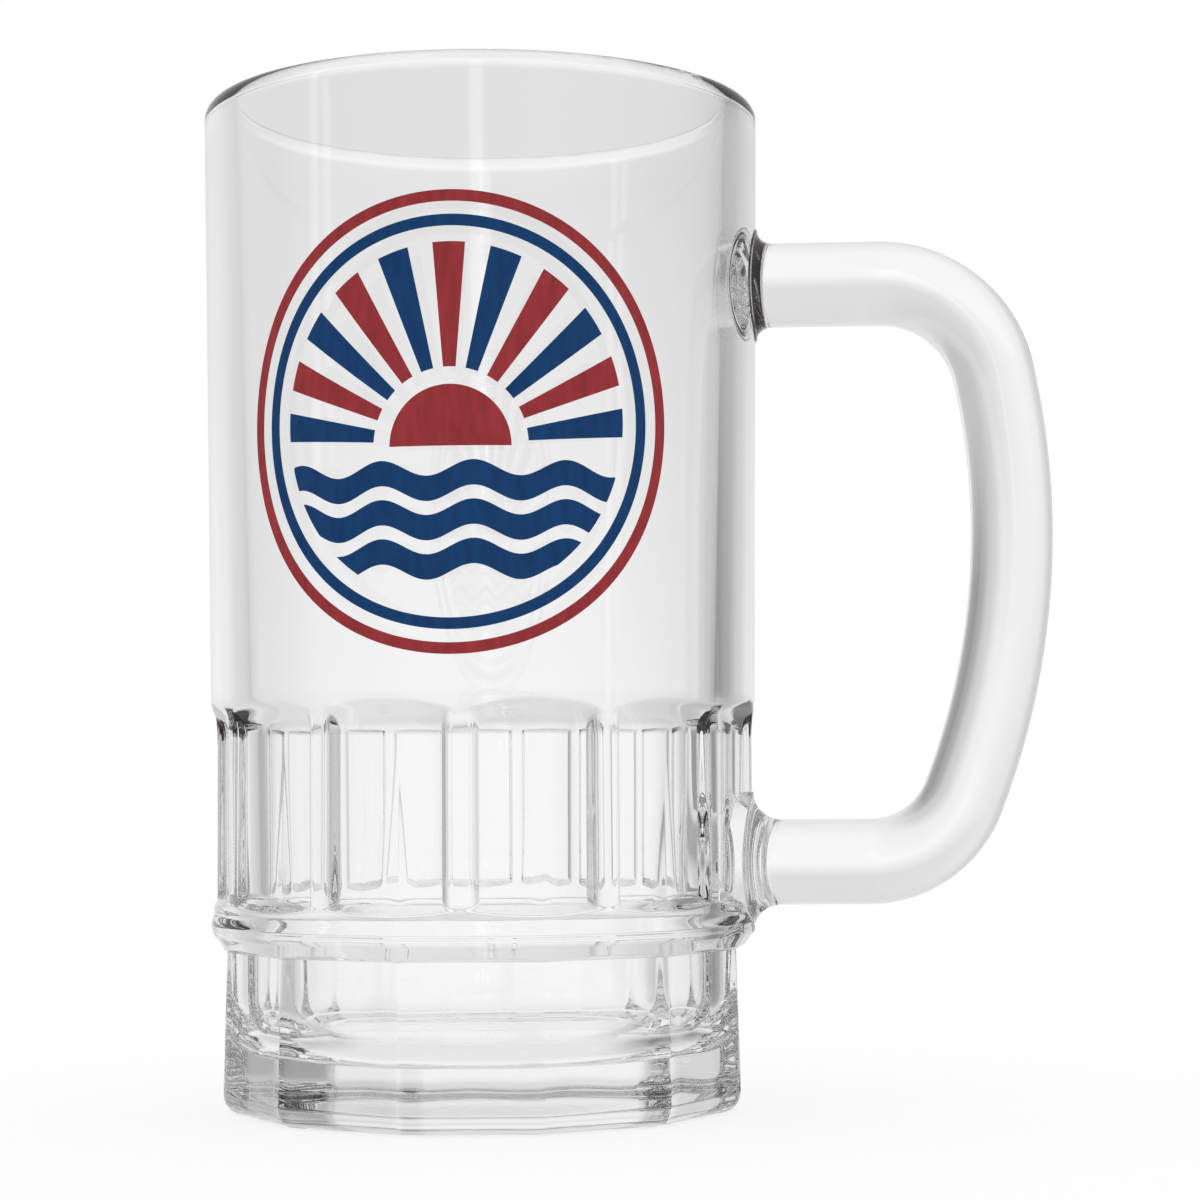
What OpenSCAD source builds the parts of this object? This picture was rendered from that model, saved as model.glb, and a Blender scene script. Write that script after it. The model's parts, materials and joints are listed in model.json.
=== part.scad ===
// Half-litre beer mug in clear pressed glass.
// A smooth conical wall stands on a fluted lower body, a belt and a faceted base.
// A round glass handle is applied to the wall, and a two-colour enamel print faces -Y.
// The origin is on the mug's axis, in the plane that it stands on. The handle points along +X.

/* [Heights] */
// Height of the whole mug
mug_h = 150; // [135:1:170]
// Height of the faceted base
base_h = 23.9; // [18:0.1:30]
// Height of the belt above the base
belt_h = 6.4; // [6.2:0.1:9]
// Height of the ramp at the foot of each flute
ramp_h = 1.4; // [1:0.1:4]
// Height of the flat window of each flute
window_h = 23; // [14:0.2:28]
// Height between the windows and the smooth wall
shoulder_h = 6.8; // [5.9:0.1:9]

/* [Outline] */
// Outer diameter of the lip
rim_d = 83.2; // [78:0.2:90]
// Outer diameter at the foot of the smooth wall
wall_d = 81.2; // [76:0.2:88]
// How far the rib crests stand back from the wall
rib_inset = 0.5; // [0.2:0.1:1]
// How far the belt stands back from the wall
belt_inset = 0.2; // [0:0.05:0.4]
// Rounding of the belt
belt_round = 2.7; // [2:0.1:3]
// How far the top of the base stands back from the wall
base_top_inset = 2.1; // [1.5:0.1:3]
// How far the foot of the base stands back from the wall
base_foot_inset = 1.5; // [0.5:0.1:2]
// Rounding of the bottom edge
foot_round = 3.2; // [1:0.1:4]
// Height of the belt's widest ring above the base
belt_rise = 3.3; // [3:0.1:3.4]
// How far the slant under the belt runs down past the top of the base
slant_past = 0.3; // [0.2:0.05:1]
// Slope of the ledge over each base facet, in degrees
ledge_angle = 15; // [10:1:25]

/* [Flutes] */
// Number of flutes, ribs and base facets
flute_count = 12; // [10:2:16]
// Depth of a flute below the rib crests
flute_depth = 2.1; // [1.6:0.1:2.4]
// Radius of the round side of a rib
rib_round = 2.6; // [2.2:0.1:3.4]
// Width left on the crest of a rib
rib_crest_w = 1.7; // [1:0.1:2]
// Height of the soft rise from a window to the wall
shoulder_l = 5.8; // [3:0.1:5.8]
// Width of the soft ridge between two base facets
ridge_w = 1.1; // [0.6:0.1:2]
// Turn of the flutes against the handle, in degrees
flute_turn = 1.5; // [0:0.1:5]
// Turn of the base facets against the handle, in degrees
base_turn = 3.3; // [0:0.1:5]

/* [Inside] */
// Thickness of the wall at the lip
lip_t = 4.9; // [3:0.1:6]
// Thickness of the wall beside the floor
foot_wall_t = 4.9; // [3:0.1:6]
// Thickness of the bottom at the inner floor
floor_z = 8.4; // [6:0.1:14]
// Rounding between the inner floor and the wall
floor_round = 9; // [4:0.5:10]
// Diameter of the shallow hollow under the base
punt_d = 58; // [40:1:62]
// Height of the shallow hollow under the base
punt_h = 1.6; // [0.5:0.1:3]

/* [Handle] */
// Diameter of the arms beside the wall
arm_d = 12.6; // [10:0.1:14]
// Diameter of the grip
grip_d = 12.1; // [10:0.1:14]
// Drop from the lip to the middle of the upper arm
arm_drop = 27.5; // [22:0.5:36]
// Height of the middle of the lower arm
low_arm_z = 36.2; // [32:0.2:42]
// Room for fingers between the lip's diameter and the grip
grip_gap = 31.4; // [26:0.2:40]
// Drop from the upper arm to where the grip bows out farthest
bow_drop = 36.5; // [30:0.5:42]
// Radius of the grip's bow
bow_r = 110; // [80:1:150]
// Radius of the upper bend, at the middle of the handle
upper_bend_r = 17.3; // [12:0.1:22]
// Radius of the lower bend, at the middle of the handle
lower_bend_r = 15; // [12:0.1:22]
// Fillet round the upper root
upper_fillet = 2.2; // [1.5:0.1:5]
// Fillet round the lower root
lower_fillet = 4.2; // [3:0.1:6]
// Thickness of the root pads at their edge
pad_edge = 0.3; // [0.2:0.05:0.8]

/* [Print] */
// Thickness of the fired enamel
ink_t = 0.1; // [0.05:0.01:0.2]
// Drop from the lip to the middle of the print
print_drop = 52; // [46:0.5:54]
// Outer diameter of the print, measured on the glass
print_d = 64; // [50:1:70]
// Width of the red ring and of the blue ring
ring_w = 1.6; // [0.8:0.1:3]
// Clear gap between the rings
ring_gap = 1.8; // [1:0.1:4]
// Clear gap between the blue ring and the picture
field_gap = 2.2; // [1:0.1:4]
// Radius of the sun
sun_r = 8.5; // [5:0.5:11]
// Height of the sun's middle below the print's middle
sun_drop = 3.4; // [0:0.2:6]
// Clear gap between the sun and its rays
ray_gap = 2.4; // [1:0.1:4]
// Number of rays, red and blue in turn
ray_count = 11; // [7:2:15]
// Share of the half circle that the rays fill
ray_fill = 0.56; // [0.3:0.02:0.8]
// Number of waves under the sun
wave_count = 3; // [2:1:4]
// Length of one wave
wave_l = 13; // [8:0.5:20]
// Height of one wave's swing, from its middle
wave_swing = 1.1; // [0.4:0.1:2]
// Thickness of one wave band
wave_t = 3.5; // [2:0.1:5]
// Clear gap between wave bands
wave_gap = 1.9; // [1:0.1:3]

/* [Hidden] */
$fn = 96;

// Steps in one round stretch of a turned outline, and in one soft rise
arc_steps = 12;
rise_steps = 8;
// Steps in a bend of the handle, in a flared root, and sides of its round section
bend_steps = 10;
root_steps = 6;
bar_sides = 28;
// Steps in the outline of one printed shape
print_steps = 72;
// Overshoot of cutting shapes past the glass
over = 10;
// How far the round of a rib and the end of a soft rise stand past the surface that trims them
rib_trim = 0.3;
rise_trim = 0.15;
// How late a shoulder rises: 1 is even, and more keeps it low beside the window
rise_late = 1.6;
// Room above and below a print in the wall that it is cut from
film_margin = 1;

glass_colour = [0.86, 0.91, 0.92, 0.4];
red_enamel = [0.557, 0.184, 0.2];
blue_enamel = [0.04, 0.22, 0.4];

// Heights, from the table up
belt_z = base_h + belt_rise;
rib_foot_z = base_h + belt_h;
window_foot_z = rib_foot_z + ramp_h;
window_top_z = window_foot_z + window_h;
wall_foot_z = window_top_z + shoulder_h;

// Radii of the outline
rim_r = rim_d / 2;
wall_foot_r = wall_d / 2;
rib_r = wall_foot_r - rib_inset;
belt_r = wall_foot_r - belt_inset;
base_top_r = wall_foot_r - base_top_inset;
base_foot_r = wall_foot_r - base_foot_inset;
window_r = rib_r - flute_depth;
lip_round = lip_t / 2;
cavity_rim_r = rim_r - lip_t;
cavity_foot_r = base_top_r - foot_wall_t;
half_pitch = 180 / flute_count;
// Radius that is clear of the glass all round
clear_r = rim_r + over;

// Outer radius of the smooth wall at a height
function wall_r(z) =
    wall_foot_r + (rim_r - wall_foot_r) * (z - wall_foot_z) / (mug_h - lip_round - wall_foot_z);

// Points on a round stretch, from angle a0 to angle a1
function arc(c, r, a0, a1) = [for (i = [0:arc_steps])
    let (a = a0 + (a1 - a0) * i / arc_steps) c + r * [cos(a), sin(a)]];

function reversed(list) = [for (i = [len(list) - 1:-1:0]) list[i]];

// Outer form

// Radius of the sphere whose cap is the hollow under the base
punt_sphere_r = (pow(punt_d / 2, 2) + pow(punt_h, 2)) / (2 * punt_h);
punt_angle = asin(punt_d / 2 / punt_sphere_r);
// Angle on the belt's round where the rib crests leave it
belt_top_angle = acos(1 - (belt_r - rib_r) / belt_round);
// Angle on the belt's round where its underside starts to slope in
belt_under_angle = -30;

outer_outline = concat(
    arc([0, punt_h - punt_sphere_r], punt_sphere_r, 90, 90 - punt_angle),
    arc([base_foot_r - foot_round, foot_round], foot_round, -90, 0),
    [[base_top_r, base_h - slant_past]],
    arc([belt_r - belt_round, belt_z], belt_round, belt_under_angle, belt_top_angle),
    [[rib_r, window_top_z], [wall_foot_r, wall_foot_z]],
    arc([rim_r - lip_round, mug_h - lip_round], lip_round, 0, 90),
    [[0, mug_h]]
);

cavity_outline = concat(
    [[0, floor_z]],
    arc([cavity_foot_r - floor_round, floor_z + floor_round], floor_round, -90, 0),
    arc([cavity_rim_r + lip_round, mug_h - lip_round], lip_round, 180, 90),
    [[cavity_rim_r + lip_round, mug_h + over], [0, mug_h + over]]
);

// Level section of one flute, between the round sides of two ribs
module flute_section() {
    open_angle = half_pitch - asin(rib_crest_w / 2 / rib_r);
    difference() {
        polygon([[0, 0], clear_r * [1, -tan(open_angle)], clear_r * [1, tan(open_angle)]]);
        for (side = [-1, 1])
            rotate(side * half_pitch) translate([rib_r + rib_trim - rib_round, 0]) circle(r = rib_round);
    }
}

// Points on the soft rise from a window to the wall
function soft_rise(r) = [for (i = [0:rise_steps])
    let (t = i / rise_steps, u = pow(t, rise_late))
        [window_r + (r - window_r) * u * u * (3 - 2 * u), window_top_z + shoulder_l * t]];

// Upright section of the room in one flute: a ramp at its foot, the flat window and the shoulder
ramp_fall = (clear_r - window_r) * ramp_h / flute_depth;
flute_side = concat(
    [[window_r, window_foot_z]],
    soft_rise(wall_foot_r + rise_trim),
    [[clear_r, window_top_z + shoulder_l], [clear_r, window_foot_z - ramp_fall]]
);

// An upright section made solid across the mug's full width
module across() {
    translate([0, rim_r, 0]) rotate([90, 0, 0]) linear_extrude(height = rim_d) children();
}

module flute_cut() {
    intersection() {
        linear_extrude(height = mug_h) flute_section();
        across() polygon(flute_side);
    }
}

// Room outside one flat facet of the base
module facet_cut() {
    foot_r = base_foot_r * cos(half_pitch - asin(ridge_w / 2 / base_foot_r));
    top_r = base_top_r * cos(half_pitch - asin(ridge_w / 2 / base_top_r));
    ledge_rise = (clear_r - top_r) * tan(ledge_angle);
    across() polygon([
        [foot_r, 0],
        [top_r, base_h],
        [clear_r, base_h + ledge_rise],
        [clear_r, -over],
        [foot_r, -over]
    ]);
}

// The mug's outer form, filled
module mug_outer() {
    difference() {
        rotate_extrude() polygon(outer_outline);
        for (i = [0:flute_count - 1]) {
            rotate((i + 0.5) * 2 * half_pitch + flute_turn) flute_cut();
            rotate(i * 2 * half_pitch + base_turn) facet_cut();
        }
    }
}

module mug_body() {
    color(glass_colour) difference() {
        mug_outer();
        rotate_extrude() polygon(cavity_outline);
    }
}

// Handle

arm_r = arm_d / 2;
grip_r = grip_d / 2;
arm_z = mug_h - arm_drop;
bow_z = arm_z - bow_drop;
bow_c = [rim_r + grip_gap + grip_r - bow_r, bow_z];
// Slope of the grip where the bow runs into each bend
upper_angle = asin((bow_drop - upper_bend_r) / (bow_r - upper_bend_r));
lower_angle = asin((bow_z - low_arm_z - lower_bend_r) / (bow_r - lower_bend_r));
upper_c = bow_c + (bow_r - upper_bend_r) * [cos(upper_angle), sin(upper_angle)];
lower_c = bow_c + (bow_r - lower_bend_r) * [cos(lower_angle), -sin(lower_angle)];

// A station of the bar is [x, z, angle, radius]: the middle of one round section in the XZ plane,
// the direction from the inside of the bend to its outside, and the section's radius.

// Stations of a flared root, from inside the glass out to the plain bar
function root(z, angle, wall_x, fillet) = concat(
    [[wall_x - over, z, angle, arm_r + fillet]],
    [for (i = [0:root_steps]) let (t = 90 * i / root_steps)
        [wall_x + pad_edge + fillet * (1 - cos(t)), z, angle, arm_r + fillet * (1 - sin(t))]]
);

// Stations round a bend about c, with the bar's radius going from r0 to r1
function bend(c, r, a0, a1, r0, r1) = [for (i = [0:bend_steps])
    let (t = i / bend_steps, a = a0 + (a1 - a0) * t)
        [c[0] + r * cos(a), c[1] + r * sin(a), a, r0 + (r1 - r0) * t]];

// All but the first station, which repeats the end of the stretch before
function rest(stations) = [for (i = [1:len(stations) - 1]) stations[i]];

bar = concat(
    root(arm_z, 90, wall_r(arm_z), upper_fillet),
    bend(upper_c, upper_bend_r, 90, upper_angle, arm_r, grip_r),
    rest(bend(bow_c, bow_r, upper_angle, -lower_angle, grip_r, grip_r)),
    rest(bend(lower_c, lower_bend_r, -lower_angle, -90, grip_r, arm_r)),
    reversed(root(low_arm_z, -90, rib_r, lower_fillet))
);

// Solid bar through a list of stations
module swept_bar(stations) {
    last = len(stations) - 1;
    points = [for (s = stations, j = [0:bar_sides - 1]) let (t = 360 * j / bar_sides)
        [s[0] + s[3] * cos(t) * cos(s[2]), s[3] * sin(t), s[1] + s[3] * cos(t) * sin(s[2])]];
    sides = [for (i = [0:last - 1], j = [0:bar_sides - 1], half = [0, 1])
        let (a = i * bar_sides + j, b = i * bar_sides + (j + 1) % bar_sides)
            half == 0 ? [a, b, b + bar_sides] : [a, b + bar_sides, a + bar_sides]];
    ends = [[for (j = [bar_sides - 1:-1:0]) j], [for (j = [0:bar_sides - 1]) last * bar_sides + j]];
    polyhedron(points = points, faces = concat(sides, ends), convexity = 4);
}

module handle() {
    color(glass_colour) difference() {
        swept_bar(bar);
        mug_outer();
    }
}

// Print

print_z = mug_h - print_drop;
print_r = wall_r(print_z);
ring_r = print_d / 2;
inner_ring_r = ring_r - ring_w - ring_gap;
field_r = inner_ring_r - ring_w - field_gap;
sun_c = [0, -sun_drop];

// A point of the flat artwork, laid round the wall and seen along +Y
function laid(p) = [print_r * sin(p[0] / print_r * 180 / PI), p[1]];

// Points on the edge of a disc, round to angle a1
function disc(c, r, a1) = [for (i = [0:print_steps])
    let (a = a1 * i / print_steps) c + r * [cos(a), sin(a)]];

module laid_shape(points) {
    polygon([for (p = points) laid(p)]);
}

module ring_shape(r) {
    difference() {
        laid_shape(disc([0, 0], r, 360));
        laid_shape(disc([0, 0], r - ring_w, 360));
    }
}

// One ray out of ray_count, as a wedge of the half circle above the sun
module ray_shape(i) {
    step = 180 / ray_count;
    middle = (i + 0.5) * step;
    half = step * ray_fill / 2;
    near = sun_r + ray_gap;
    far = print_d;
    laid_shape([for (p = [[near, -half], [far, -half], [far, half], [near, half]])
        sun_c + p[0] * [cos(middle + p[1]), sin(middle + p[1])]]);
}

module rays_shape(first) {
    intersection() {
        laid_shape(disc([0, 0], field_r, 360));
        for (i = [first:2:ray_count - 1])
            ray_shape(i);
    }
}

function wave_line(h) = [for (i = [0:print_steps])
    let (s = field_r * (2 * i / print_steps - 1)) [s, h + wave_swing * sin(s / wave_l * 360)]];

// Height of the upper edge of a wave band, from the print's middle
function wave_top(i) = sun_c[1] - wave_swing - wave_gap - i * (wave_t + wave_gap);

module waves_shape() {
    intersection() {
        laid_shape(disc([0, 0], field_r, 360));
        for (i = [0:wave_count - 1])
            laid_shape(concat(wave_line(wave_top(i)), reversed(wave_line(wave_top(i) - wave_t))));
    }
}

// Enamel film of a flat shape on the wall
module film() {
    low_z = print_z - ring_r - film_margin;
    high_z = print_z + ring_r + film_margin;
    intersection() {
        rotate_extrude() polygon([
            [wall_r(low_z), low_z],
            [wall_r(low_z) + ink_t, low_z],
            [wall_r(high_z) + ink_t, high_z],
            [wall_r(high_z), high_z]
        ]);
        rotate([90, 0, 0]) linear_extrude(height = print_r + over) translate([0, print_z]) children();
    }
}

module print_red_ring() {
    color(red_enamel) film() ring_shape(ring_r);
}

module print_blue_ring() {
    color(blue_enamel) film() ring_shape(inner_ring_r);
}

module print_red_sun() {
    color(red_enamel) film() laid_shape(disc(sun_c, sun_r, 180));
}

module print_red_rays() {
    color(red_enamel) film() rays_shape(1);
}

module print_blue_rays() {
    color(blue_enamel) film() rays_shape(0);
}

module print_blue_waves() {
    color(blue_enamel) film() waves_shape();
}

mug_body();
handle();
print_red_ring();
print_blue_ring();
print_red_sun();
print_red_rays();
print_blue_rays();
print_blue_waves();
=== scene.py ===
"""Half-litre beer mug in clear pressed glass, with an applied handle and a two-colour enamel print.

All sizes are in metres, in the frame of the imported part: the origin is on the mug's axis in the plane
that it stands on, +Z is up, the handle points along +X and the print faces -Y.
"""

import json
import math

import bpy
import numpy as np
from mathutils import Euler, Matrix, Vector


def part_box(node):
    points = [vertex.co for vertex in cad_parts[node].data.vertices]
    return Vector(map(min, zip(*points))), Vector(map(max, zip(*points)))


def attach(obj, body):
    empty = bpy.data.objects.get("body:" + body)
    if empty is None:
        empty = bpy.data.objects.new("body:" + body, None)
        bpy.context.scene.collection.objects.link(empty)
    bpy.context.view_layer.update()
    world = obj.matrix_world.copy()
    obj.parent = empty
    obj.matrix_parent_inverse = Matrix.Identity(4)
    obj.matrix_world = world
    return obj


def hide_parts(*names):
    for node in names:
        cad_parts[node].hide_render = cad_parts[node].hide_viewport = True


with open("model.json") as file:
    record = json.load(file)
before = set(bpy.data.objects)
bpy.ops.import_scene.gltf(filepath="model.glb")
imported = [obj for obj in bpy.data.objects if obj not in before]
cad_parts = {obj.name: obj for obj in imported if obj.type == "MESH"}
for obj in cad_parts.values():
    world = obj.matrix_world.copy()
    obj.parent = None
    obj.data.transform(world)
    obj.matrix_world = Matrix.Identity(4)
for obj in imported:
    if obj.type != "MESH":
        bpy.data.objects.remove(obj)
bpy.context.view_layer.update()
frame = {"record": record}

MM = 0.001
DEGREE = math.pi / 180

# Sizes of the body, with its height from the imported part

_, body_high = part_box("mug_body")
MUG_H = body_high.z
RIM_R = 41.6 * MM
WALL_FOOT_R = 40.6 * MM

BASE_H = 23.9 * MM
BELT_H = 6.4 * MM
RAMP_H = 1.4 * MM
WINDOW_H = 23.0 * MM
SHOULDER_H = 6.8 * MM

RIB_R = WALL_FOOT_R - 0.5 * MM
BELT_R = WALL_FOOT_R - 0.2 * MM
BELT_ROUND = 2.7 * MM
BELT_UNDER = 0.5
BELT_RISE = 3.3 * MM
SLANT_PAST = 0.3 * MM
BASE_TOP_R = WALL_FOOT_R - 2.1 * MM
BASE_FOOT_R = WALL_FOOT_R - 1.5 * MM
FOOT_ROUND = 3.2 * MM
RIDGE_W = 1.1 * MM
LEDGE_SLOPE = math.tan(15 * DEGREE)

FLUTES = 12
FLUTE_TURN = 1.5 * DEGREE
BASE_TURN = 3.3 * DEGREE
FLUTE_DEPTH = 2.1 * MM
WINDOW_R = RIB_R - FLUTE_DEPTH
RIB_ROUND = 2.6 * MM
RIB_TRIM = 0.3 * MM
SHOULDER_L = 5.8 * MM
RISE_TRIM = 0.15 * MM
RISE_LATE = 1.6

LIP_T = 4.9 * MM
FOOT_WALL_T = 4.9 * MM
FLOOR_Z = 8.4 * MM
FLOOR_ROUND = 9.0 * MM
PUNT_R = 29.0 * MM
PUNT_H = 1.6 * MM

BELT_Z = BASE_H + BELT_RISE
WINDOW_FOOT_Z = BASE_H + BELT_H + RAMP_H
WINDOW_TOP_Z = WINDOW_FOOT_Z + WINDOW_H
WALL_FOOT_Z = WINDOW_TOP_Z + SHOULDER_H
LIP_ROUND = LIP_T / 2
LIP_Z = MUG_H - LIP_ROUND
CAVITY_RIM_R = RIM_R - LIP_T
CAVITY_FOOT_R = BASE_TOP_R - FOOT_WALL_T
PITCH = 2 * math.pi / FLUTES

# Widths over which neighbouring surfaces run into one another

BELT_BLEND = 1.0 * MM
WINDOW_FOOT_ROUND = 1.3 * MM
RIB_FOOT_ROUND = 0.5 * MM
RIB_CREST_ROUND = 0.4 * MM
RIDGE_ROUND = 0.35 * MM
LEDGE_ROUND = 0.3 * MM

# Unevenness of the pressed glass: its sizes, the waves that it is made of and a seed for each surface

UNEVEN_BASE = 0.012 * MM
UNEVEN_LEVEL = 0.012 * MM
UNEVEN_CAVITY = 0.002 * MM
RIPPLE_WAVES = 10
RIPPLE_TURNS = 8
RIPPLE_L = 25.0 * MM
RIPPLE_FINE = 2
BASE_SEED = 9
CAVITY_SEED = 5
UNDERSIDE_SEED = 11
FLOOR_SEED = 12

# Sizes of the handle

ARM_R = 6.3 * MM
GRIP_R = 6.05 * MM
ARM_Z = MUG_H - 27.5 * MM
LOW_ARM_Z = 36.2 * MM
GRIP_GAP = 31.4 * MM
BOW_R = 110.0 * MM
BOW_Z = ARM_Z - 36.5 * MM
UPPER_BEND_R = 17.3 * MM
LOWER_BEND_R = 15.0 * MM
UPPER_FILLET = 2.2 * MM
LOWER_FILLET = 4.2 * MM
PAD_EDGE = 0.3 * MM
EMBED = 0.25 * MM

# Sizes of the print

INK_OUT = 0.08 * MM
INK_IN = 0.02 * MM
PRINT_Z = MUG_H - 52.0 * MM
PRINT_R = 32.0 * MM
RING_W = 1.6 * MM
RING_GAP = 1.8 * MM
FIELD_GAP = 2.2 * MM
SUN_R = 8.5 * MM
SUN_DROP = 3.4 * MM
RAY_GAP = 2.4 * MM
RAYS = 11
RAY_FILL = 0.56
WAVES = 3
WAVE_L = 13.0 * MM
WAVE_SWING = 1.1 * MM
WAVE_T = 3.5 * MM
WAVE_GAP = 1.9 * MM


# Shapes shared by the glass and the print

def soft_max(a, b, k):
    """The larger of two surfaces, with the corner between them filled over a width of about k."""
    h = np.clip(0.5 + 0.5 * (a - b) / k, 0, 1)
    return b + (a - b) * h + k * h * (1 - h)


def soft_min(a, b, k):
    """The smaller of two surfaces, with the corner between them rounded over a width of about k."""
    return -soft_max(-a, -b, k)


def off_centre(theta, centre):
    """Angle from the nearest of the evenly spaced features, one of which is at centre."""
    return (theta - centre + PITCH / 2) % PITCH - PITCH / 2


def ease(share):
    """A rise from 0 to 1 that starts and ends level."""
    share = np.clip(share, 0, 1)
    return share * share * (3 - 2 * share)


def steps(*stops):
    """Values from the first stop on through pairs of a next stop and about the spacing on the way to it."""
    values = [stops[0]]
    for end, gap in stops[1:]:
        start = values[-1]
        count = max(1, round(abs(end - start) / gap))
        values += [start + (end - start) * (i + 1) / count for i in range(count)]
    return np.array(values)


def arc(end, step):
    """Angles after 0 up to end, which is in degrees like the step; the angles are in radians."""
    return steps(0, (end, step))[1:] * DEGREE


def ripple(theta, z, size, seed, fineness=1):
    """Gentle unevenness of pressed glass, the same each run."""
    draw = np.random.default_rng(seed)
    total = 0
    for _ in range(RIPPLE_WAVES):
        turns = draw.integers(1, RIPPLE_TURNS + 1) * fineness
        climb = draw.uniform(-1, 1) * 2 * math.pi / RIPPLE_L * fineness
        total = total + np.sin(turns * theta + climb * z + draw.uniform(0, 2 * math.pi))
    return size * total / math.sqrt(RIPPLE_WAVES)


def wall_radius(z):
    """Outer radius of the smooth wall."""
    return WALL_FOOT_R + (RIM_R - WALL_FOOT_R) * (z - WALL_FOOT_Z) / (LIP_Z - WALL_FOOT_Z)


def turned_radius(z):
    """Outer radius above the base as it would be without flutes: belt, rib crests and wall."""
    up = np.clip((z - BELT_Z) / BELT_ROUND, -BELT_UNDER, 1)
    belt = BELT_R - BELT_ROUND * (1 - np.sqrt(1 - up**2))
    slant_z = BASE_H - SLANT_PAST
    slant_share = np.clip((z - slant_z) / (BELT_Z - BELT_ROUND * BELT_UNDER - slant_z), 0, 1)
    belt = BASE_TOP_R + (belt - BASE_TOP_R) * slant_share
    risen = ease((z - WINDOW_TOP_Z) / SHOULDER_H)
    smooth = RIB_R + (wall_radius(z) - RIB_R) * risen
    return np.where(z < BELT_Z, belt, soft_max(belt, smooth, BELT_BLEND))


def flute_radius(theta, z):
    """Outer radius in the flutes: flat windows, their ramps and shoulders, and the ribs' round sides."""
    share = np.clip((z - WINDOW_TOP_Z) / SHOULDER_L, 0, 1)
    shoulder = WINDOW_R + (WALL_FOOT_R + RISE_TRIM - WINDOW_R) * ease(share**RISE_LATE)
    shoulder = shoulder + np.maximum(z - WINDOW_TOP_Z - SHOULDER_L, 0)
    ramp = WINDOW_R + (WINDOW_FOOT_Z - z) * FLUTE_DEPTH / RAMP_H
    window_phi = off_centre(theta, FLUTE_TURN + PITCH / 2)
    flat = soft_max(ramp, shoulder, WINDOW_FOOT_ROUND) / np.cos(window_phi)
    rib_c = turned_radius(z) + RIB_TRIM - RIB_ROUND
    rib_phi = off_centre(theta, FLUTE_TURN)
    rib_side = np.maximum(RIB_ROUND**2 - (rib_c * np.sin(rib_phi)) ** 2, 0)
    rib = rib_c * np.cos(rib_phi) + np.sqrt(rib_side)
    return soft_max(flat, rib, RIB_FOOT_ROUND)


def facet_radius(theta, z):
    """Outer radius of the faceted base, and of the ledge that leans out over its facets."""
    share = z / BASE_H
    ridge = BASE_FOOT_R + (BASE_TOP_R - BASE_FOOT_R) * share
    flat = ridge * np.cos(PITCH / 2 - RIDGE_W / 2 / ridge)
    phi = off_centre(theta, BASE_TURN)
    facet = soft_min(flat / np.cos(phi), ridge, RIDGE_ROUND)
    ledge = (flat + (z - BASE_H) / LEDGE_SLOPE) / np.cos(phi)
    return facet, ledge


def outer_radius(theta, z):
    """Outer radius of the mug at an angle and a height above the rounded foot."""
    fluted = soft_min(flute_radius(theta, z), turned_radius(z), RIB_CREST_ROUND)
    turned = np.where(z > BELT_Z, fluted, turned_radius(z))
    facet, ledge = facet_radius(theta, z)
    fading = np.clip((BELT_Z - z) / BELT_RISE, 0, 1)
    uneven = ripple(theta, z, UNEVEN_BASE, BASE_SEED, RIPPLE_FINE) * fading
    return soft_max(facet, soft_min(ledge, turned, LEDGE_ROUND), LEDGE_ROUND) + uneven


SEAT_ROUNDS = 6


def wall_x(y, z, radius):
    """X of a surface on the handle's side, given its radius by angle and height."""
    theta = np.zeros_like(y)
    for _ in range(SEAT_ROUNDS):
        r = radius(theta, z)
        x = np.sqrt(r**2 - y**2)
        theta = np.arctan2(y, x)
    return x


# Meshes and objects

def placed(name, data):
    """A new object in the scene."""
    item = bpy.data.objects.new(name, data)
    bpy.context.scene.collection.objects.link(item)
    return item


def circle_ring(r, z, theta):
    """A ring of points round the axis; r and z may vary with theta."""
    r = np.broadcast_to(r, theta.shape)
    z = np.broadcast_to(z, theta.shape)
    return np.stack([r * np.cos(theta), r * np.sin(theta), z], -1)


def ring_mesh(name, rings, materials, ring_slots=None):
    """A closed mesh through rings of points, with a fan over the first and the last ring."""
    rows, columns, _ = rings.shape
    poles = [rings[0].mean(axis=0), rings[-1].mean(axis=0)]
    points = np.concatenate([rings.reshape(-1, 3), poles])
    i, j = np.meshgrid(np.arange(rows - 1), np.arange(columns), indexing="ij")
    k = (j + 1) % columns
    above = (i + 1) * columns
    quads = np.stack([i * columns + j, i * columns + k, above + k, above + j], -1)
    around = np.arange(columns)
    ahead = (around + 1) % columns
    first = np.stack([np.full(columns, rows * columns), ahead, around], -1)
    last_row = (rows - 1) * columns
    last = np.stack([np.full(columns, rows * columns + 1), last_row + around, last_row + ahead], -1)
    mesh = bpy.data.meshes.new(name)
    faces = quads.reshape(-1, 4).tolist() + first.tolist() + last.tolist()
    mesh.from_pydata(points.tolist(), [], faces)
    mesh.polygons.foreach_set("use_smooth", np.ones(len(faces), bool))
    for material in materials:
        mesh.materials.append(material)
    if ring_slots is not None:
        fan_slots = np.repeat([ring_slots[0], ring_slots[-1]], columns)
        slots = np.concatenate([np.repeat(ring_slots, columns), fan_slots])
        mesh.polygons.foreach_set("material_index", slots.astype(np.int32))
    mesh.update()
    return placed(name, mesh)


# Shader nodes

def new_material(name):
    """A material with only an output node in it."""
    material = bpy.data.materials.new(name)
    material.use_nodes = True
    nodes = material.node_tree.nodes
    nodes.clear()
    output = nodes.new("ShaderNodeOutputMaterial")
    return material, nodes, material.node_tree.links, output


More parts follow.
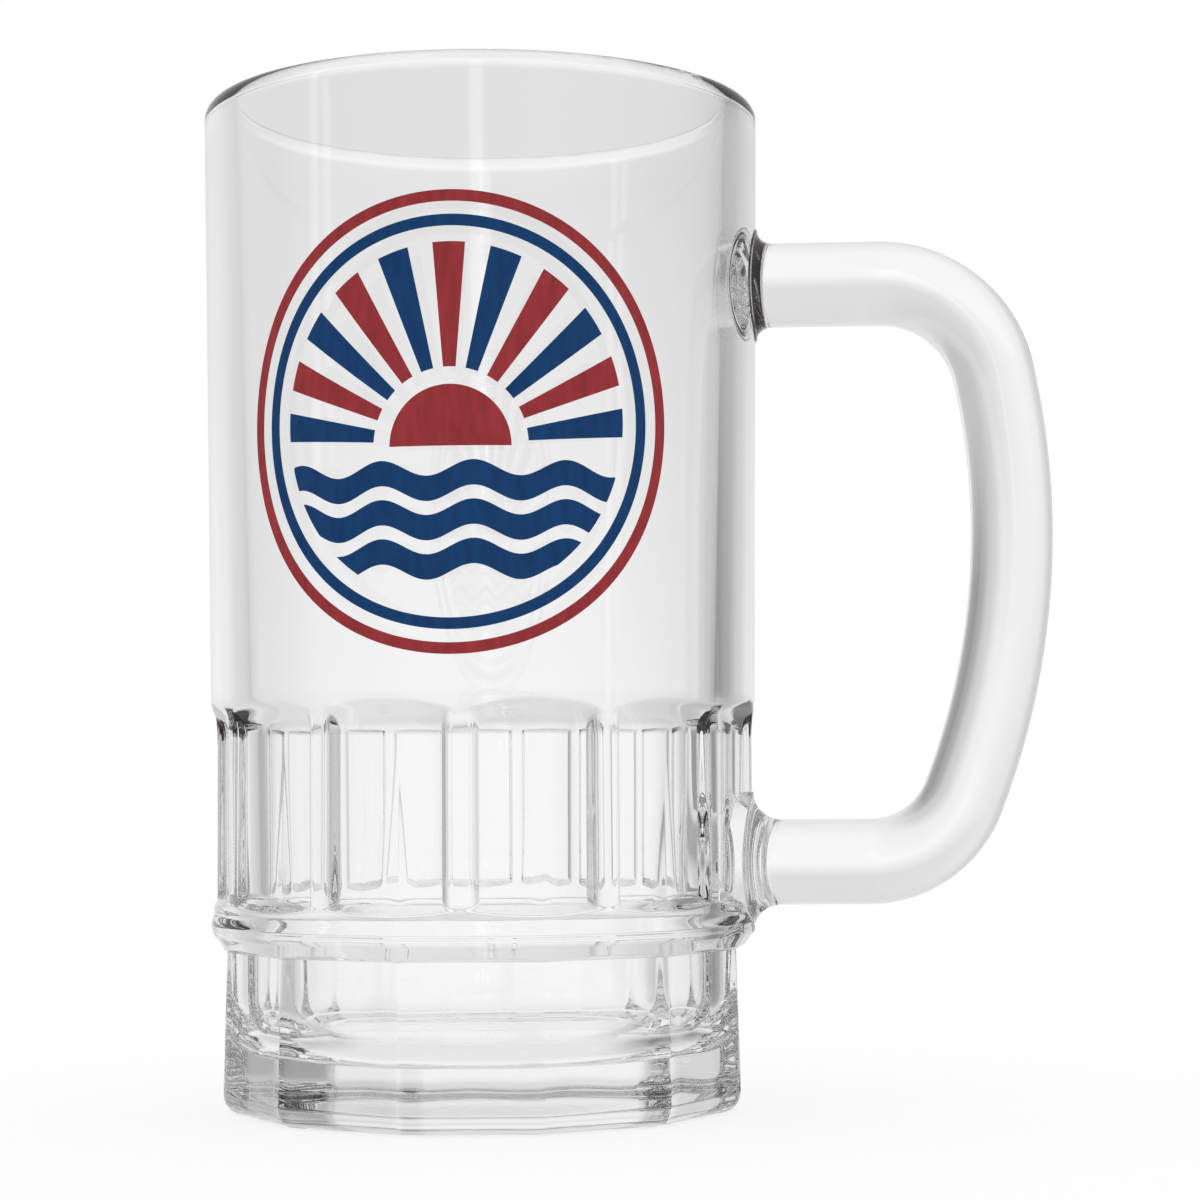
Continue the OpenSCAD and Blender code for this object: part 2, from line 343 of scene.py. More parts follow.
def noise(nodes, links, scale, detail, stretch=(1, 1, 1)):
    """Noise in the part's own coordinates, with scale in features per metre."""
    place = nodes.new("ShaderNodeTexCoord")
    mapping = nodes.new("ShaderNodeMapping")
    mapping.inputs["Scale"].default_value = stretch
    texture = nodes.new("ShaderNodeTexNoise")
    texture.inputs["Scale"].default_value = scale
    texture.inputs["Detail"].default_value = detail
    links.new(place.outputs["Object"], mapping.inputs["Vector"])
    links.new(mapping.outputs["Vector"], texture.inputs["Vector"])
    return texture.outputs["Fac"]


def remap(nodes, links, value, span, to=(0, 1)):
    """A value moved from one span to another, and held at its ends."""
    node = nodes.new("ShaderNodeMapRange")
    node.inputs["From Min"].default_value, node.inputs["From Max"].default_value = span
    node.inputs["To Min"].default_value, node.inputs["To Max"].default_value = to
    links.new(value, node.inputs["Value"])
    return node.outputs["Result"]


def bumped(nodes, links, height, strength, depth):
    """The surface's normal, bent by a height."""
    bump = nodes.new("ShaderNodeBump")
    bump.inputs["Strength"].default_value = strength
    bump.inputs["Distance"].default_value = depth
    links.new(height, bump.inputs["Height"])
    return bump.outputs["Normal"]


def maths(nodes, links, operation, a, b):
    """One operation on two values."""
    node = nodes.new("ShaderNodeMath")
    node.operation = operation
    links.new(a, node.inputs[0])
    links.new(b, node.inputs[1])
    return node.outputs["Value"]


def mixed_shader(nodes, links, share, first, second):
    """The first shader where share is 0 and the second where it is 1."""
    mix = nodes.new("ShaderNodeMixShader")
    if isinstance(share, float):
        mix.inputs["Fac"].default_value = share
    else:
        links.new(share, mix.inputs["Fac"])
    links.new(first, mix.inputs[1])
    links.new(second, mix.inputs[2])
    return mix.outputs["Shader"]


# Places of the colour sockets among all sockets of the mix node
MIX_A = 6
MIX_B = 7
MIX_RESULT = 2


def mixed(nodes, links, share, a, b):
    """Colour a where share is 0 and the colour or grey level b where it is 1."""
    mix = nodes.new("ShaderNodeMix")
    mix.data_type = "RGBA"
    links.new(share, mix.inputs["Factor"])
    links.new(a, mix.inputs[MIX_A])
    if isinstance(b, float):
        mix.inputs[MIX_B].default_value = (b, b, b, 1)
    else:
        links.new(b, mix.inputs[MIX_B])
    return mix.outputs[MIX_RESULT]


def level_ramp(nodes, links, value, stops):
    """Grey levels over a value from 0 to 1, given as (place, level) stops."""
    ramp = nodes.new("ShaderNodeValToRGB")
    ramp.color_ramp.interpolation = "EASE"
    first, *middle, last = stops
    ramp.color_ramp.elements[0].position = first[0]
    ramp.color_ramp.elements[0].color = [first[1]] * 3 + [1]
    ramp.color_ramp.elements[1].position = last[0]
    ramp.color_ramp.elements[1].color = [last[1]] * 3 + [1]
    for position, level in middle:
        ramp.color_ramp.elements.new(position).color = [level] * 3 + [1]
    links.new(value, ramp.inputs["Fac"])
    return ramp.outputs["Color"]


# Materials

WHITE = (1, 1, 1, 1)
GLASS_IOR = 1.52
GLASS_TINT = (0.941, 0.943, 0.94, 1)
GLASS_DENSITY = 16.0
GLASS_SHADOW = (0.86, 0.87, 0.87, 1)
SMEAR_SCALE = 45
SMEAR_DETAIL = 3
SMEAR_STRETCH = (1, 1, 0.4)
SMEAR_SPAN = (0.55, 0.8)
SMEAR_ROUGHNESS = (0.0, 0.03)
GLASS_WAVE_SCALE = 150
GLASS_WAVE_DETAIL = 1
GLASS_WAVE_STRENGTH = 0.02
GLASS_WAVE_DEPTH = 0.2 * MM


def absorb(nodes, links, output):
    """The faint grey of thick glass."""
    volume = nodes.new("ShaderNodeVolumeAbsorption")
    volume.inputs["Color"].default_value = GLASS_TINT
    volume.inputs["Density"].default_value = GLASS_DENSITY
    links.new(volume.outputs["Volume"], output.inputs["Volume"])


def glass_material():
    """Fire-polished soda-lime glass: clear, hardly rippled, with a few faint smears."""
    material, nodes, links, output = new_material("clear_glass")
    glass = nodes.new("ShaderNodeBsdfPrincipled")
    glass.inputs["Base Color"].default_value = WHITE
    glass.inputs["Transmission Weight"].default_value = 1
    glass.inputs["IOR"].default_value = GLASS_IOR
    smears = noise(nodes, links, SMEAR_SCALE, SMEAR_DETAIL, SMEAR_STRETCH)
    links.new(remap(nodes, links, smears, SMEAR_SPAN, SMEAR_ROUGHNESS), glass.inputs["Roughness"])
    waves = noise(nodes, links, GLASS_WAVE_SCALE, GLASS_WAVE_DETAIL)
    normal = bumped(nodes, links, waves, GLASS_WAVE_STRENGTH, GLASS_WAVE_DEPTH)
    links.new(normal, glass.inputs["Normal"])
    clear = nodes.new("ShaderNodeBsdfTransparent")
    clear.inputs["Color"].default_value = GLASS_SHADOW
    shadow_ray = nodes.new("ShaderNodeLightPath").outputs["Is Shadow Ray"]
    surface = mixed_shader(nodes, links, shadow_ray, glass.outputs["BSDF"], clear.outputs["BSDF"])
    links.new(surface, output.inputs["Surface"])
    absorb(nodes, links, output)
    return material


def seam_material():
    """Where the handle is fused to the wall: one body of glass, with no surface between."""
    material, nodes, links, output = new_material("fused_glass")
    clear = nodes.new("ShaderNodeBsdfTransparent")
    links.new(clear.outputs["BSDF"], output.inputs["Surface"])
    absorb(nodes, links, output)
    return material


ENAMEL_SPECULAR = 0.12
GRAIN_SCALE = 900
GRAIN_DETAIL = 2
GRAIN_STRETCH = (1, 1, 0.25)
GRAIN_SPAN = (0.3, 0.7)
GRAIN_SHADES = (0.86, 1.14)
GRAIN_ROUGHNESS = (0.28, 0.42)
GRAIN_STRENGTH = 0.15
GRAIN_DEPTH = 0.02 * MM


def linear(channel):
    """An sRGB channel as linear light."""
    return channel / 12.92 if channel <= 0.04045 else ((channel + 0.055) / 1.055) ** 2.4


def enamel_material(slot):
    """Fired screen-print enamel: satin gloss, with the faint grain of the screen."""
    colour = next(m["base_color"] for m in frame["record"]["materials"] if m["slot"] == slot)
    colour = [linear(c) for c in colour[:3]]
    material, nodes, links, output = new_material(slot)
    enamel = nodes.new("ShaderNodeBsdfPrincipled")
    enamel.inputs["Specular IOR Level"].default_value = ENAMEL_SPECULAR
    grain = noise(nodes, links, GRAIN_SCALE, GRAIN_DETAIL, GRAIN_STRETCH)
    ramp = nodes.new("ShaderNodeValToRGB")
    for element, position, shade in zip(ramp.color_ramp.elements, GRAIN_SPAN, GRAIN_SHADES):
        element.position = position
        element.color = [c * shade for c in colour] + [1]
    links.new(grain, ramp.inputs["Fac"])
    links.new(ramp.outputs["Color"], enamel.inputs["Base Color"])
    links.new(remap(nodes, links, grain, GRAIN_SPAN, GRAIN_ROUGHNESS), enamel.inputs["Roughness"])
    normal = bumped(nodes, links, grain, GRAIN_STRENGTH, GRAIN_DEPTH)
    links.new(normal, enamel.inputs["Normal"])
    links.new(enamel.outputs["BSDF"], output.inputs["Surface"])
    return material


clear_glass = glass_material()
fused_glass = seam_material()
red_enamel = enamel_material("red_enamel")
blue_enamel = enamel_material("blue_enamel")

# Both glass pieces have the clear glass in their first slot and the fused seam in their second
GLASS_SLOTS = [clear_glass, fused_glass]
CLEAR_SLOT = 0
SEAM_SLOT = 1


# Glass body

# Spacing of the rings, which is finest where the surface bends, and how far that reaches past a bend
POLE_R = 0.5 * MM
LEVEL_SPACING = 2.0 * MM
STAND_START = 0.1
STAND_STEP = 0.2
BASE_SPACING = 0.8 * MM
LEDGE_SPACING = 0.08 * MM
LEDGE_BELOW = 1.0 * MM
LEDGE_ABOVE = 2.0 * MM
BELT_SPACING = 0.25 * MM
RAMP_SPACING = 0.07 * MM
RAMP_BELOW = 2.0 * MM
CORNER_MARGIN = 0.4 * MM
WINDOW_SPACING = 1.2 * MM
WINDOW_TOP_SPACING = 0.08 * MM
SHOULDER_SPACING = 0.2 * MM
SHOULDER_ABOVE = 1.0 * MM
WALL_SPACING = 4.0 * MM
ROOT_SPACING = 0.35 * MM
ROOT_MARGIN = 0.5 * MM

# Steps round the curves, in degrees
FOOT_STEP = 9
LIP_STEP = 6
FLOOR_STEP = 6

# Columns: half widths and spacing from the middle of a rib outwards, and at the base's ridges
CREST_HALF = 0.8 * MM
CREST_SPACING = 0.2 * MM
SIDE_HALF = 2.9 * MM
SIDE_SPACING = 0.07 * MM
FLAT_SPACING = 0.5 * MM
RIDGE_HALF = 1.0 * MM
RIDGE_SPACING = 0.13 * MM
LEAST_TURN = 0.0005

OUTSIDE_MARGIN = 0.2 * MM


def uneven_level(theta, r, edge_r, seed):
    """Height of the gentle waves in a level face, which die out at its middle and at its edge."""
    share = r / edge_r
    return ripple(theta, r, UNEVEN_LEVEL, seed, RIPPLE_FINE) * 4 * share * (1 - share)


def body_rings(theta):
    """Rings from the middle of the underside out, up the outside, over the lip and down to the floor."""
    rings = []

    def add(r, z):
        rings.append(circle_ring(r, z, theta))

    sphere_r = (PUNT_R**2 + PUNT_H**2) / (2 * PUNT_H)
    for r in steps(POLE_R, (PUNT_R, LEVEL_SPACING)):
        hollow = PUNT_H - sphere_r + math.sqrt(sphere_r**2 - r**2)
        add(r, hollow + uneven_level(theta, r, PUNT_R, UNDERSIDE_SEED))
    foot_r = outer_radius(theta, np.full_like(theta, FOOT_ROUND))
    for share in steps(STAND_START, (1, STAND_STEP)):
        add(PUNT_R + (foot_r - FOOT_ROUND - PUNT_R) * share, 0)
    for turn in arc(90, FOOT_STEP):
        add(foot_r - FOOT_ROUND * (1 - math.sin(turn)), FOOT_ROUND * (1 - math.cos(turn)))
    heights = steps(
        FOOT_ROUND,
        (BASE_H - LEDGE_BELOW, BASE_SPACING),
        (BASE_H + LEDGE_ABOVE, LEDGE_SPACING),
        (WINDOW_FOOT_Z - RAMP_BELOW, BELT_SPACING),
        (WINDOW_FOOT_Z + CORNER_MARGIN, RAMP_SPACING),
        (LOW_ARM_Z + ARM_R + LOWER_FILLET + ROOT_MARGIN, ROOT_SPACING),
        (WINDOW_TOP_Z - CORNER_MARGIN, WINDOW_SPACING),
        (WINDOW_TOP_Z + CORNER_MARGIN, WINDOW_TOP_SPACING),
        (WALL_FOOT_Z + SHOULDER_ABOVE, SHOULDER_SPACING),
        (ARM_Z - ARM_R - UPPER_FILLET - ROOT_MARGIN, WALL_SPACING),
        (ARM_Z + ARM_R + UPPER_FILLET + ROOT_MARGIN, ROOT_SPACING),
        (LIP_Z, WALL_SPACING),
    )
    for z in heights[1:]:
        add(outer_radius(theta, np.full_like(theta, z)), z)
    for turn in arc(180, LIP_STEP)[:-1]:
        add(RIM_R - LIP_ROUND + LIP_ROUND * math.cos(turn), LIP_Z + LIP_ROUND * math.sin(turn))
    floor_top = FLOOR_Z + FLOOR_ROUND
    for z in steps(LIP_Z, (floor_top, WALL_SPACING)):
        r = CAVITY_FOOT_R + (CAVITY_RIM_R - CAVITY_FOOT_R) * (z - floor_top) / (LIP_Z - floor_top)
        add(r + ripple(theta, z, UNEVEN_CAVITY, CAVITY_SEED), z)
    for turn in arc(90, FLOOR_STEP):
        add(CAVITY_FOOT_R - FLOOR_ROUND * (1 - math.cos(turn)), floor_top - FLOOR_ROUND * math.sin(turn))
    floor_r = CAVITY_FOOT_R - FLOOR_ROUND
    for r in steps(floor_r, (POLE_R, LEVEL_SPACING))[1:]:
        add(r, FLOOR_Z + uneven_level(theta, r, floor_r, FLOOR_SEED))
    return np.array(rings)


def body_columns():
    """Angles of the body's columns, close together at the edges of the ribs and at the base's ridges."""
    half = RIB_R * PITCH / 2
    side = steps(0, (CREST_HALF, CREST_SPACING), (SIDE_HALF, SIDE_SPACING), (half, FLAT_SPACING))
    rib = FLUTE_TURN + np.concatenate([-side[1:-1], side]) / RIB_R
    ridge = BASE_TURN + PITCH / 2 + steps(-RIDGE_HALF, (RIDGE_HALF, RIDGE_SPACING)) / RIB_R
    pitch = np.sort(np.concatenate([rib, ridge]) % PITCH)
    pitch = pitch[np.diff(pitch, append=pitch[0] + PITCH) > LEAST_TURN]
    return (PITCH * np.arange(FLUTES)[:, None] + pitch[None, :]).ravel()


def make_body():
    """The pressed body, with its faces under the handle's roots as seam."""
    piece = ring_mesh("pressed_body", body_rings(body_columns()), GLASS_SLOTS)
    mesh = piece.data
    centres = np.zeros(len(mesh.polygons) * 3)
    mesh.polygons.foreach_get("center", centres)
    x, y, z = centres.reshape(-1, 3).T
    outside = (x > 0) & (np.hypot(x, y) > CAVITY_RIM_R + OUTSIDE_MARGIN)
    upper = np.hypot(y, z - ARM_Z) < ARM_R + UPPER_FILLET
    lower = np.hypot(y, z - LOW_ARM_Z) < ARM_R + LOWER_FILLET
    slots = np.where(outside & (upper | lower), SEAM_SLOT, CLEAR_SLOT)
    mesh.polygons.foreach_set("material_index", slots.astype(np.int32))
    mesh.update()
    return piece


# Handle

BAR_SIDES = 96
BEND_STATIONS = 36
BOW_STATIONS = 60
SEAT_SHARES = (0.1, 0.4, 0.7, 0.9, 1.0)
PAD_STEP = 15
FLARE_STEP = 5
ARM_STEP = 0.1


def bend_stations(cx, cz, r, start, end, r0, r1, count):
    """Stations [x, z, angle, radius] of the bar round a bend."""
    share = np.linspace(0, 1, count)
    angle = start + (end - start) * share
    return np.stack([cx + r * np.cos(angle), cz + r * np.sin(angle), angle, r0 + (r1 - r0) * share], -1)


def bar_ring(station, around):
    """The ring of the bar at a station."""
    x, z, angle, radius = station
    out = radius * np.cos(around)
    return np.stack([x + out * math.cos(angle), radius * np.sin(around), z + out * math.sin(angle)], -1)


def root_rings(z0, up, fillet, start_x, around):
    """Rings of a flared root, from inside the wall out to the plain bar at start_x."""
    rings, slots = [], []
    pad_r = ARM_R + fillet
    edge_y, edge_z = pad_r * np.sin(around), z0 + up * pad_r * np.cos(around)
    wall_edge_x = wall_x(edge_y, edge_z, outer_radius)
    edge_x = np.maximum(wall_x(edge_y, edge_z, lambda theta, z: turned_radius(z)), wall_edge_x)

    def add(radius, x, slot):
        rings.append(np.stack([x, radius * np.sin(around), z0 + up * radius * np.cos(around)], -1))
        slots.append(slot)

    for share in SEAT_SHARES:
        radius = pad_r * share
        inner_x = wall_x(radius * np.sin(around), z0 + up * radius * np.cos(around), outer_radius)
        add(radius, inner_x - EMBED, SEAM_SLOT)
    add(pad_r, wall_edge_x, CLEAR_SLOT)
    for turn in arc(90, PAD_STEP):
        add(pad_r - PAD_EDGE * (1 - math.cos(turn)), edge_x + PAD_EDGE * math.sin(turn), CLEAR_SLOT)
    sweep = fillet - PAD_EDGE
    for turn in arc(90, FLARE_STEP):
        flare_x = edge_x + PAD_EDGE + fillet * (1 - math.cos(turn))
        add(ARM_R + sweep * (1 - math.sin(turn)), flare_x, CLEAR_SLOT)
    root_x = edge_x + PAD_EDGE + fillet
    for share in steps(0, (1, ARM_STEP))[1:-1]:
        add(ARM_R, root_x + (start_x - root_x) * share, CLEAR_SLOT)
    return rings, slots


def make_handle():
    """The bar from its upper root through two bends and a long bow to its lower root."""
    around = -np.arange(BAR_SIDES) * 2 * math.pi / BAR_SIDES
    bow_x = RIM_R + GRIP_GAP + GRIP_R - BOW_R
    upper_angle = math.asin((ARM_Z - BOW_Z - UPPER_BEND_R) / (BOW_R - UPPER_BEND_R))
    lower_angle = math.asin((BOW_Z - LOW_ARM_Z - LOWER_BEND_R) / (BOW_R - LOWER_BEND_R))
    upper_x = bow_x + (BOW_R - UPPER_BEND_R) * math.cos(upper_angle)
    upper_z = BOW_Z + (BOW_R - UPPER_BEND_R) * math.sin(upper_angle)
    lower_x = bow_x + (BOW_R - LOWER_BEND_R) * math.cos(lower_angle)
    lower_z = BOW_Z - (BOW_R - LOWER_BEND_R) * math.sin(lower_angle)
    quarter = math.pi / 2
    bow = bend_stations(bow_x, BOW_Z, BOW_R, upper_angle, -lower_angle, GRIP_R, GRIP_R, BOW_STATIONS)
    stations = np.concatenate([
        bend_stations(
            upper_x, upper_z, UPPER_BEND_R, quarter, upper_angle, ARM_R, GRIP_R, BEND_STATIONS
        ),
        bow[1:-1],
        bend_stations(
            lower_x, lower_z, LOWER_BEND_R, -lower_angle, -quarter, GRIP_R, ARM_R, BEND_STATIONS
        ),
    ])
    upper, upper_slots = root_rings(ARM_Z, 1, UPPER_FILLET, upper_x, around)
    lower, lower_slots = root_rings(LOW_ARM_Z, -1, LOWER_FILLET, lower_x, around)
    rings = upper + [bar_ring(s, around) for s in stations] + lower[::-1]
    middle = [CLEAR_SLOT] * (len(stations) + 1)
    slots = upper_slots + middle + lower_slots[::-1][1:-1]
    return ring_mesh("applied_handle", np.array(rings), GLASS_SLOTS, np.array(slots))


# Print

PRINT_WALL_R = wall_radius(PRINT_Z)
INNER_RING_R = PRINT_R - RING_W - RING_GAP
FIELD_R = INNER_RING_R - RING_W - FIELD_GAP

RING_TURNS = 121
RING_ROWS = 4
SUN_TURNS = 73
SUN_ROWS = 12
RAY_TURNS = 9
RAY_ROWS = 24
WAVE_COLUMNS = 400
WAVE_ROWS = 6
LEAST_W = 0.02 * MM


def laid(s, h, lift):
    """A point of the flat artwork laid round the wall, s across and h up from the print's middle."""
    z = PRINT_Z + h
    r = wall_radius(z) + lift
    turn = s / PRINT_WALL_R
    return np.stack([r * np.sin(turn), -r * np.cos(turn), z], -1)


def film_faces(rows, columns):
    """Quads of a film's outer face, its inner face and its edge."""
    count = rows * columns
    i, j = np.meshgrid(np.arange(rows - 1), np.arange(columns - 1), indexing="ij")
    a = i * columns + j
    outer = np.stack([a, a + 1, a + columns + 1, a + columns], -1).reshape(-1, 4)
    rim = np.concatenate([
        np.arange(columns - 1),
        np.arange(rows - 1) * columns + columns - 1,
        count - 1 - np.arange(columns - 1),
        (rows - 1 - np.arange(rows - 1)) * columns,
    ])
    ahead = np.roll(rim, -1)
    edge = np.stack([rim, rim + count, ahead + count, ahead], -1)
    return np.concatenate([outer, outer[:, ::-1] + count, edge])


def make_film(name, patches, material):
    """A printed film from patches of the flat artwork, each a grid of (s, h) points."""
    points, faces, start = [], [], 0
    for s, h in patches:
        rows, columns = s.shape
        points += [laid(s, h, INK_OUT).reshape(-1, 3), laid(s, h, -INK_IN).reshape(-1, 3)]
        faces.append(film_faces(rows, columns) + start)
        start += 2 * rows * columns
    mesh = bpy.data.meshes.new(name)
    mesh.from_pydata(np.concatenate(points).tolist(), [], np.concatenate(faces).tolist())
    mesh.materials.append(material)
    mesh.validate()
    mesh.update()
    return placed(name, mesh)


def ring_patches(outer_r):
    """A ring as two half rings."""
    patches = []
    reach = np.linspace(outer_r - RING_W, outer_r, RING_ROWS)
    for start in (0, math.pi):
        turn, r = np.meshgrid(np.linspace(start, start + math.pi, RING_TURNS), reach)
        patches.append((r * np.cos(turn), r * np.sin(turn)))
    return patches


def sun_patches():
    """The upper half of a disc."""
    turn, r = np.meshgrid(np.linspace(0, math.pi, SUN_TURNS), np.linspace(LEAST_W, SUN_R, SUN_ROWS))
    return [(r * np.cos(turn), r * np.sin(turn) - SUN_DROP)]


def ray_patches(first):
    """Every second ray, out to the edge of the round field."""
    step = math.pi / RAYS
    near = SUN_R + RAY_GAP
    patches = []
    for i in range(first, RAYS, 2):
        middle = (i + 0.5) * step
        turn = np.linspace(middle - step * RAY_FILL / 2, middle + step * RAY_FILL / 2, RAY_TURNS)
        drop = SUN_DROP * np.sin(turn)
        reach = drop + np.sqrt(drop**2 + FIELD_R**2 - SUN_DROP**2)
        share, turn = np.meshgrid(np.linspace(0, 1, RAY_ROWS), turn)
        r = near + (reach[:, None] - near) * share
        patches.append((-r * np.cos(turn), r * np.sin(turn) - SUN_DROP))
    return patches


def wave_patches():
    """Wave bands under the sun, cut off by the round field."""
    patches = []
    for i in range(WAVES):
        top = -SUN_DROP - WAVE_SWING - WAVE_GAP - i * (WAVE_T + WAVE_GAP)
        s = np.linspace(-FIELD_R, FIELD_R, WAVE_COLUMNS)
        high = top + WAVE_SWING * np.sin(s / WAVE_L * 2 * math.pi)
        bound = -np.sqrt(np.maximum(FIELD_R**2 - s**2, 0))
        low = np.maximum(high - WAVE_T, bound)
        inside = high > bound + LEAST_W
        s, high, low = s[inside], high[inside], low[inside]
        share = np.linspace(0, 1, WAVE_ROWS)[:, None]
        patches.append((np.broadcast_to(s, (WAVE_ROWS, len(s))), low + (high - low) * share))
    return patches


# The pieces and the nodes that they stand for

pieces = [
    (make_body(), "mug_body", "clear_glass"),
    (make_handle(), "handle", "clear_glass"),
    (make_film("red_ring_film", ring_patches(PRINT_R), red_enamel), "print_red_ring", "red_enamel"),
    (make_film("blue_ring_film", ring_patches(INNER_RING_R), blue_enamel), "print_blue_ring", "blue_enamel"),
    (make_film("red_sun_film", sun_patches(), red_enamel), "print_red_sun", "red_enamel"),
    (make_film("red_rays_film", ray_patches(1), red_enamel), "print_red_rays", "red_enamel"),
    (make_film("blue_rays_film", ray_patches(0), blue_enamel), "print_blue_rays", "blue_enamel"),
    (make_film("blue_waves_film", wave_patches(), blue_enamel), "print_blue_waves", "blue_enamel"),
]
for piece, node, slot in pieces:
    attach(piece, "root")
    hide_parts(node)


# Stage, light and camera

STAGE_R = 0.6
STAGE_SIDES = 96
STAGE_GLOW = 1.05
STAGE_COLOUR = (0.9, 0.9, 0.9, 1)
STAGE_SHADE = 0.3


def make_floor():
    """A round white floor that takes a soft shadow."""
    mesh = bpy.data.meshes.new("studio_floor")
    turns = np.arange(STAGE_SIDES) * 2 * math.pi / STAGE_SIDES
    edge = circle_ring(STAGE_R, 0, turns)
    mesh.from_pydata(edge.tolist(), [], [list(range(STAGE_SIDES))])
    material, nodes, links, output = new_material("white_floor")
    glow = nodes.new("ShaderNodeEmission")
    glow.inputs["Strength"].default_value = STAGE_GLOW
    diffuse = nodes.new("ShaderNodeBsdfDiffuse")
    diffuse.inputs["Color"].default_value = STAGE_COLOUR
    surface = mixed_shader(nodes, links, STAGE_SHADE, glow.outputs["Emission"], diffuse.outputs["BSDF"])
    links.new(surface, output.inputs["Surface"])
    mesh.materials.append(material)
    floor = placed("studio_floor", mesh)
    # The glass shows the room on past the floor, and the floor keeps the mug's shadow.
    floor.visible_glossy = False
    floor.visible_transmission = False


# Levels of the room round the glass, by degrees from straight behind the mug, plus to the right.
# A darker screen stands at each side, which draws the edges of the glass.
ROOM_TURN = 6.3 * DEGREE
ROOM_LOW = [
    (-180, 0.88), (-150, 0.9), (-125, 0.62), (-100, 0.46), (-78, 0.46), (-60, 0.54), (-42, 0.7),
    (-27, 0.88), (-12, 0.95), (5, 0.95), (15, 0.88), (30, 0.62), (42, 0.38), (52, 0.26), (68, 0.28),
    (80, 0.6), (95, 0.76), (120, 0.85), (150, 0.9), (180, 0.88),
]
ROOM_HIGH = [
    (-180, 0.75), (-145, 0.75), (-120, 0.66), (-100, 0.55), (-85, 0.46), (-68, 0.63), (-50, 0.68),
    (-25, 0.8), (0, 0.75), (20, 0.65), (40, 0.54), (60, 0.52), (75, 0.68), (95, 0.78), (120, 0.86),
    (150, 0.87), (180, 0.75),
]
CEILING = 0.7
GROUND = 0.82
# Sines of the angles above the horizon over which the room goes from low to high, and on to its ends
HIGH_SPAN = (0, 0.2)
CEILING_SPAN = (0.45, 0.85)
GROUND_SPAN = (-0.45, -0.85)
# Upright strip lamps in front of the mug and at its left: how far they are lit by degrees and by height
STRIP_SIDES = [
    (-180, 1), (-176.5, 1), (-174, 0), (-111, 0), (-109.5, 1), (-107.5, 1), (-106, 0), (178, 0), (180, 1),
]
STRIP_ENDS = [(0.02, 0), (0.1, 1), (0.45, 1), (0.6, 0)]
STRIP_LEVEL = 1.8


def by_turn(stops):
    """Stops by degrees, as stops from 0 to 1 round the room."""
    return [(degrees / 360 + 0.5, level) for degrees, level in stops]


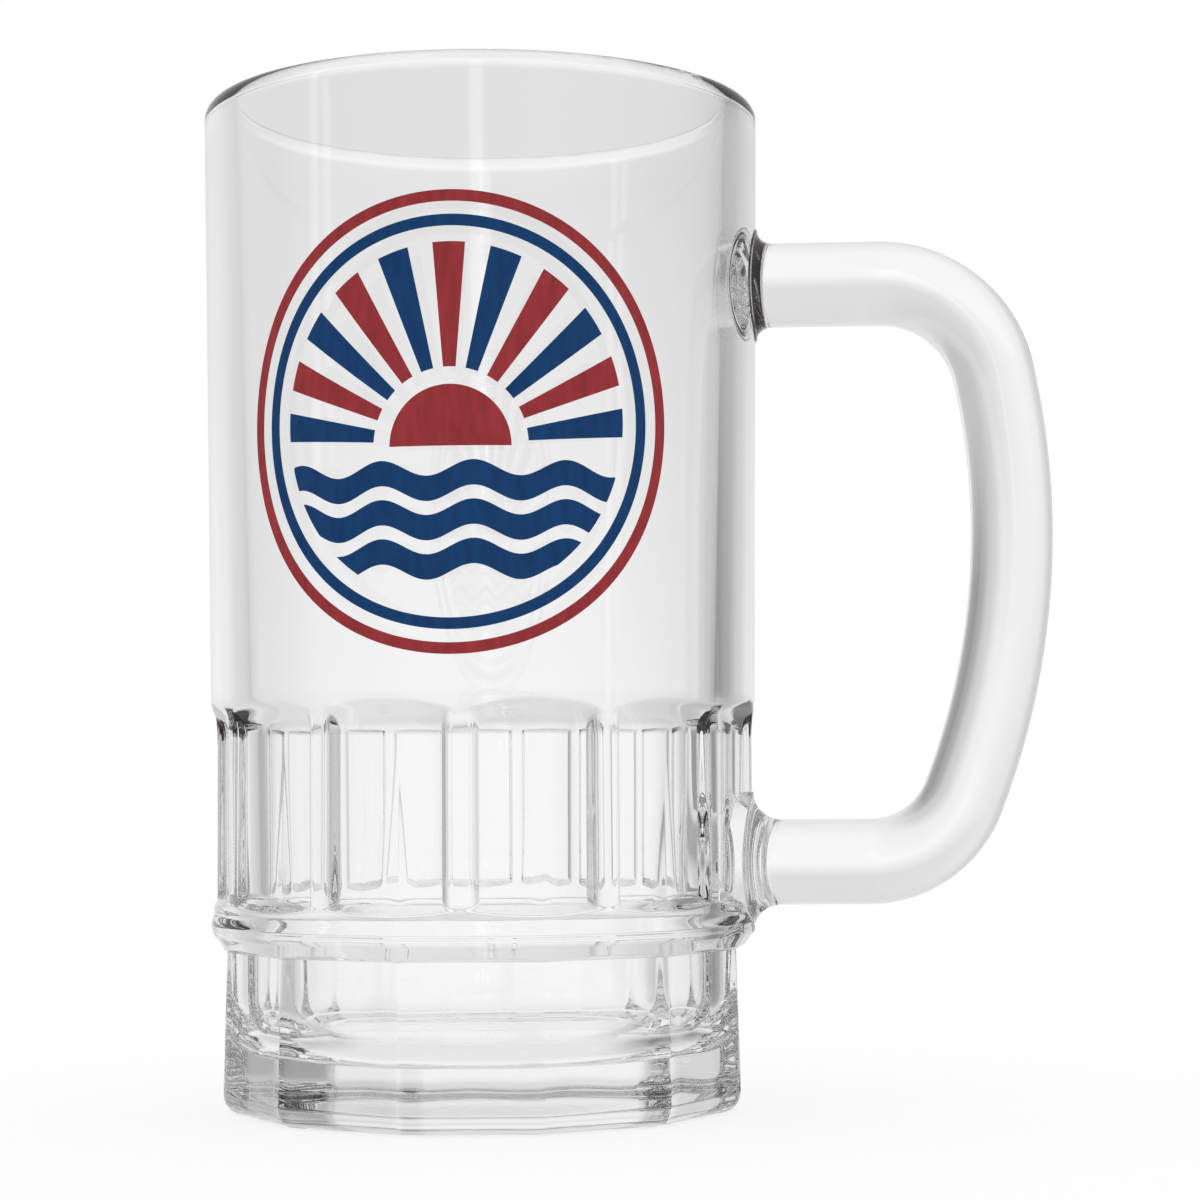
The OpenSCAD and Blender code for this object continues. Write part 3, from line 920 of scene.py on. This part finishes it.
def make_world():
    """White for the camera and as plain light; for the glass, a pale room with dark screens and lamps."""
    world = bpy.data.worlds.new("studio")
    bpy.context.scene.world = world
    world.use_nodes = True
    nodes, links = world.node_tree.nodes, world.node_tree.links
    nodes.clear()
    place = nodes.new("ShaderNodeTexCoord")
    turned = nodes.new("ShaderNodeVectorRotate")
    turned.rotation_type = "Z_AXIS"
    turned.inputs["Angle"].default_value = -ROOM_TURN
    links.new(place.outputs["Generated"], turned.inputs["Vector"])
    split = nodes.new("ShaderNodeSeparateXYZ")
    links.new(turned.outputs["Vector"], split.inputs["Vector"])
    x, y, z = [split.outputs[axis] for axis in "XYZ"]
    azimuth = maths(nodes, links, "ARCTAN2", x, y)
    around = remap(nodes, links, azimuth, (-math.pi, math.pi))
    low = level_ramp(nodes, links, around, by_turn(ROOM_LOW))
    high = level_ramp(nodes, links, around, by_turn(ROOM_HIGH))
    level = mixed(nodes, links, remap(nodes, links, z, HIGH_SPAN), low, high)
    level = mixed(nodes, links, remap(nodes, links, z, CEILING_SPAN), level, CEILING)
    level = mixed(nodes, links, remap(nodes, links, z, GROUND_SPAN), level, GROUND)
    across = level_ramp(nodes, links, around, by_turn(STRIP_SIDES))
    ends = [((height + 1) / 2, lit) for height, lit in STRIP_ENDS]
    upright = level_ramp(nodes, links, remap(nodes, links, z, (-1, 1)), ends)
    strip = maths(nodes, links, "MULTIPLY", across, upright)
    level = mixed(nodes, links, strip, level, STRIP_LEVEL)
    room = nodes.new("ShaderNodeBackground")
    links.new(level, room.inputs["Color"])
    plain = nodes.new("ShaderNodeBackground")
    plain.inputs["Color"].default_value = WHITE
    path = nodes.new("ShaderNodeLightPath").outputs
    glass_ray = maths(nodes, links, "MAXIMUM", path["Is Glossy Ray"], path["Is Transmission Ray"])
    surface = mixed_shader(nodes, links, glass_ray, plain.outputs["Background"], room.outputs["Background"])
    output = nodes.new("ShaderNodeOutputWorld")
    links.new(surface, output.inputs["Surface"])


CAMERA_AWAY = 0.4508
CAMERA_Z = 0.0499
CAMERA_AZIMUTH = 6.3 * DEGREE
CAMERA_UP = 3.26 * DEGREE
CAMERA_RIGHT = 2.233 * DEGREE
CAMERA_ROLL = -0.38 * DEGREE
SENSOR_W = 36.0
FOCAL = 90.0


def make_camera():
    """The photo's view."""
    data = bpy.data.cameras.new("photo_view")
    data.sensor_width = SENSOR_W
    data.lens = FOCAL
    camera = placed("photo_view", data)
    camera.location = (
        CAMERA_AWAY * math.sin(CAMERA_AZIMUTH),
        -CAMERA_AWAY * math.cos(CAMERA_AZIMUTH),
        CAMERA_Z,
    )
    turn = Euler((math.pi / 2 + CAMERA_UP, 0, CAMERA_AZIMUTH - CAMERA_RIGHT)).to_matrix()
    camera.rotation_euler = (turn @ Euler((0, 0, CAMERA_ROLL)).to_matrix()).to_euler()
    bpy.context.scene.camera = camera


# Light passes many surfaces in the thick glass; reflections inside it count as glossy ones
PATH_BOUNCES = 48
GLOSSY_BOUNCES = 14
CLEAR_BOUNCES = 32

make_floor()
make_world()
make_camera()
bpy.context.scene.view_settings.view_transform = "Standard"
bpy.context.scene.cycles.max_bounces = PATH_BOUNCES
bpy.context.scene.cycles.transmission_bounces = PATH_BOUNCES
bpy.context.scene.cycles.glossy_bounces = GLOSSY_BOUNCES
bpy.context.scene.cycles.transparent_max_bounces = CLEAR_BOUNCES
